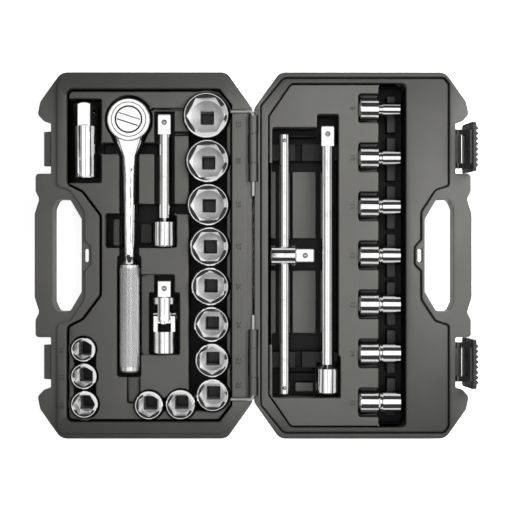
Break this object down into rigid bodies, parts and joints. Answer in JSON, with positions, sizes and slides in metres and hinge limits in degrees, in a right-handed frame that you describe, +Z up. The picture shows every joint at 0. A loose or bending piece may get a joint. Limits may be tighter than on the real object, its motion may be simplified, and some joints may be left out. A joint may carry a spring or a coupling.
{
  "type": "socket wrench set in case",
  "caption": "Half-inch drive socket wrench set in a hinged moulded case: ratchet, sockets, extension bars, sliding T-bar, universal joint and spark plug socket in fitted pockets.",
  "frame": {"origin": "middle of the hinge line, on the ground, which is the bottom centre of the open case", "axes": "+Y along the hinge, +X towards the lid, +Z up, with the case open flat"},
  "size_m": [0.4105, 0.342, 0.0597],
  "materials": {
    "case_plastic": "fine-grained dark grey moulding",
    "latch_plastic": "glossy black",
    "chrome": "polished chrome plate",
    "pin_steel": "bare steel wire",
    "ball_steel": "plain hardened steel",
    "rubber": "matt black"
  },
  "bodies": {
    "base": {"case_base": "case_plastic", "hinge_pin_upper": "pin_steel", "hinge_pin_lower": "pin_steel"},
    "lid": {"case_lid": "case_plastic", "latch_pins": "pin_steel"},
    "latch_upper": {"latch_upper": "latch_plastic"},
    "latch_lower": {"latch_lower": "latch_plastic"},
    "socket_08": {"socket_08": "chrome"},
    "socket_10": {"socket_10": "chrome"},
    "socket_11": {"socket_11": "chrome"},
    "socket_12": {"socket_12": "chrome"},
    "socket_13": {"socket_13": "chrome"},
    "socket_14": {"socket_14": "chrome"},
    "socket_15": {"socket_15": "chrome"},
    "socket_16": {"socket_16": "chrome"},
    "socket_17": {"socket_17": "chrome"},
    "socket_18": {"socket_18": "chrome"},
    "socket_19": {"socket_19": "chrome"},
    "socket_20": {"socket_20": "chrome"},
    "socket_22": {"socket_22": "chrome"},
    "socket_23": {"socket_23": "chrome"},
    "socket_24": {"socket_24": "chrome"},
    "socket_26": {"socket_26": "chrome"},
    "socket_27": {"socket_27": "chrome"},
    "socket_29": {"socket_29": "chrome"},
    "socket_30": {"socket_30": "chrome"},
    "socket_32": {"socket_32": "chrome"},
    "short_extension": {"short_extension": "chrome"},
    "short_extension_ball": {"short_extension_ball": "ball_steel"},
    "long_extension": {"long_extension": "chrome"},
    "long_extension_ball": {"long_extension_ball": "ball_steel"},
    "t_bar": {"t_bar_rod": "chrome", "t_bar_stop_balls": "ball_steel"},
    "t_bar_head": {"t_bar_head": "chrome"},
    "t_bar_ball": {"t_bar_ball": "ball_steel"},
    "universal_joint": {"joint_socket_yoke": "chrome"},
    "joint_cross": {"joint_cross": "chrome"},
    "joint_drive_yoke": {"joint_drive_yoke": "chrome"},
    "joint_ball": {"joint_ball": "ball_steel"},
    "spark_plug_socket": {"spark_plug_socket": "chrome", "spark_plug_rubber": "rubber"},
    "ratchet": {"ratchet_body": "chrome", "ratchet_pawl_pin": "ball_steel", "ratchet_cover": "chrome"},
    "ratchet_drive": {"ratchet_drive": "chrome"},
    "ratchet_ball": {"ratchet_ball": "ball_steel"},
    "ratchet_dial": {"ratchet_dial": "chrome"},
    "ratchet_pawl": {"ratchet_pawl": "ball_steel"}
  },
  "joints": [
    {"name": "lid_hinge", "type": "hinge", "parent": "base", "child": "lid", "pos_m": [0, 0, 0.044], "axis": [0, 1, 0], "range_deg": [-180, 0]},
    {"name": "latch_upper_swing", "type": "hinge", "parent": "lid", "child": "latch_upper", "pos_m": [0.1924, 0.1, 0.035], "axis": [0, 1, 0], "range_deg": [-10, 80]},
    {"name": "latch_lower_swing", "type": "hinge", "parent": "lid", "child": "latch_lower", "pos_m": [0.1924, -0.1, 0.035], "axis": [0, 1, 0], "range_deg": [-10, 80]},
    {"name": "socket_08_lift", "type": "slide", "parent": "lid", "child": "socket_08", "axis": [0, 0, 1], "range_m": [0, 0.06]},
    {"name": "socket_10_lift", "type": "slide", "parent": "lid", "child": "socket_10", "axis": [0, 0, 1], "range_m": [0, 0.06]},
    {"name": "socket_11_lift", "type": "slide", "parent": "lid", "child": "socket_11", "axis": [0, 0, 1], "range_m": [0, 0.06]},
    {"name": "socket_12_lift", "type": "slide", "parent": "lid", "child": "socket_12", "axis": [0, 0, 1], "range_m": [0, 0.06]},
    {"name": "socket_13_lift", "type": "slide", "parent": "lid", "child": "socket_13", "axis": [0, 0, 1], "range_m": [0, 0.06]},
    {"name": "socket_14_lift", "type": "slide", "parent": "lid", "child": "socket_14", "axis": [0, 0, 1], "range_m": [0, 0.06]},
    {"name": "socket_15_lift", "type": "slide", "parent": "lid", "child": "socket_15", "axis": [0, 0, 1], "range_m": [0, 0.06]},
    {"name": "socket_16_lift", "type": "slide", "parent": "base", "child": "socket_16", "axis": [0, 0, 1], "range_m": [0, 0.06]},
    {"name": "socket_17_lift", "type": "slide", "parent": "base", "child": "socket_17", "axis": [0, 0, 1], "range_m": [0, 0.06]},
    {"name": "socket_18_lift", "type": "slide", "parent": "base", "child": "socket_18", "axis": [0, 0, 1], "range_m": [0, 0.06]},
    {"name": "socket_19_lift", "type": "slide", "parent": "base", "child": "socket_19", "axis": [0, 0, 1], "range_m": [0, 0.06]},
    {"name": "socket_20_lift", "type": "slide", "parent": "base", "child": "socket_20", "axis": [0, 0, 1], "range_m": [0, 0.06]},
    {"name": "socket_22_lift", "type": "slide", "parent": "base", "child": "socket_22", "axis": [0, 0, 1], "range_m": [0, 0.06]},
    {"name": "socket_23_lift", "type": "slide", "parent": "base", "child": "socket_23", "axis": [0, 0, 1], "range_m": [0, 0.06]},
    {"name": "socket_24_lift", "type": "slide", "parent": "base", "child": "socket_24", "axis": [0, 0, 1], "range_m": [0, 0.06]},
    {"name": "socket_26_lift", "type": "slide", "parent": "base", "child": "socket_26", "axis": [0, 0, 1], "range_m": [0, 0.06]},
    {"name": "socket_27_lift", "type": "slide", "parent": "base", "child": "socket_27", "axis": [0, 0, 1], "range_m": [0, 0.06]},
    {"name": "socket_29_lift", "type": "slide", "parent": "base", "child": "socket_29", "axis": [0, 0, 1], "range_m": [0, 0.06]},
    {"name": "socket_30_lift", "type": "slide", "parent": "base", "child": "socket_30", "axis": [0, 0, 1], "range_m": [0, 0.06]},
    {"name": "socket_32_lift", "type": "slide", "parent": "base", "child": "socket_32", "axis": [0, 0, 1], "range_m": [0, 0.06]},
    {"name": "short_extension_lift", "type": "slide", "parent": "base", "child": "short_extension", "axis": [0, 0, 1], "range_m": [0, 0.06]},
    {"name": "short_extension_ball_press", "type": "slide", "parent": "short_extension", "child": "short_extension_ball", "axis": [0, 0, 1], "range_m": [-0.0012, 0], "stiffness_N_per_m": 300, "springref_m": 0.001},
    {"name": "long_extension_lift", "type": "slide", "parent": "lid", "child": "long_extension", "axis": [0, 0, 1], "range_m": [0, 0.06]},
    {"name": "long_extension_ball_press", "type": "slide", "parent": "long_extension", "child": "long_extension_ball", "axis": [0, 0, 1], "range_m": [-0.0012, 0], "stiffness_N_per_m": 300, "springref_m": 0.001},
    {"name": "t_bar_lift", "type": "slide", "parent": "lid", "child": "t_bar", "axis": [0, 0, 1], "range_m": [0, 0.06]},
    {"name": "t_bar_slide", "type": "slide", "parent": "t_bar", "child": "t_bar_head", "axis": [0, 1, 0], "range_m": [-0.06, 0.06]},
    {"name": "t_bar_ball_press", "type": "slide", "parent": "t_bar_head", "child": "t_bar_ball", "axis": [0, 0, 1], "range_m": [-0.0012, 0], "stiffness_N_per_m": 300, "springref_m": 0.001},
    {"name": "universal_joint_lift", "type": "slide", "parent": "base", "child": "universal_joint", "axis": [0, 0, 1], "range_m": [0, 0.06]},
    {"name": "joint_bend_up", "type": "hinge", "parent": "universal_joint", "child": "joint_cross", "pos_m": [-0.0836, -0.0586, 0.031], "axis": [1, 0, 0], "range_deg": [0, 45]},
    {"name": "joint_bend_side", "type": "hinge", "parent": "joint_cross", "child": "joint_drive_yoke", "pos_m": [-0.0836, -0.0586, 0.031], "axis": [0, 0, 1], "range_deg": [-5, 5]},
    {"name": "joint_ball_press", "type": "slide", "parent": "joint_drive_yoke", "child": "joint_ball", "axis": [0, 0, 1], "range_m": [-0.0012, 0], "stiffness_N_per_m": 300, "springref_m": 0.001},
    {"name": "spark_plug_socket_lift", "type": "slide", "parent": "base", "child": "spark_plug_socket", "axis": [0, 0, 1], "range_m": [0, 0.06]},
    {"name": "ratchet_lift", "type": "slide", "parent": "base", "child": "ratchet", "axis": [0, 0, 1], "range_m": [0, 0.06]},
    {"name": "ratchet_turn", "type": "hinge", "parent": "ratchet", "child": "ratchet_drive", "pos_m": [-0.1168, 0.1277, 0.031], "axis": [0, 0, 1], "continuous": true},
    {"name": "ratchet_ball_press", "type": "slide", "parent": "ratchet_drive", "child": "ratchet_ball", "axis": [0, 1, 0], "range_m": [-0.0012, 0], "stiffness_N_per_m": 300, "springref_m": 0.001},
    {"name": "dial_turn", "type": "hinge", "parent": "ratchet", "child": "ratchet_dial", "pos_m": [-0.1168, 0.1277, 0.031], "axis": [0, 0, 1], "range_deg": [0, 36]},
    {"name": "pawl_rock", "type": "hinge", "parent": "ratchet", "child": "ratchet_pawl", "pos_m": [-0.1168, 0.1093, 0.031], "axis": [0, 0, 1], "range_deg": [-12, 0]}
  ],
  "couplings": [
    {"joint": "pawl_rock", "follows": "dial_turn", "ratio": -0.33333}
  ]
}
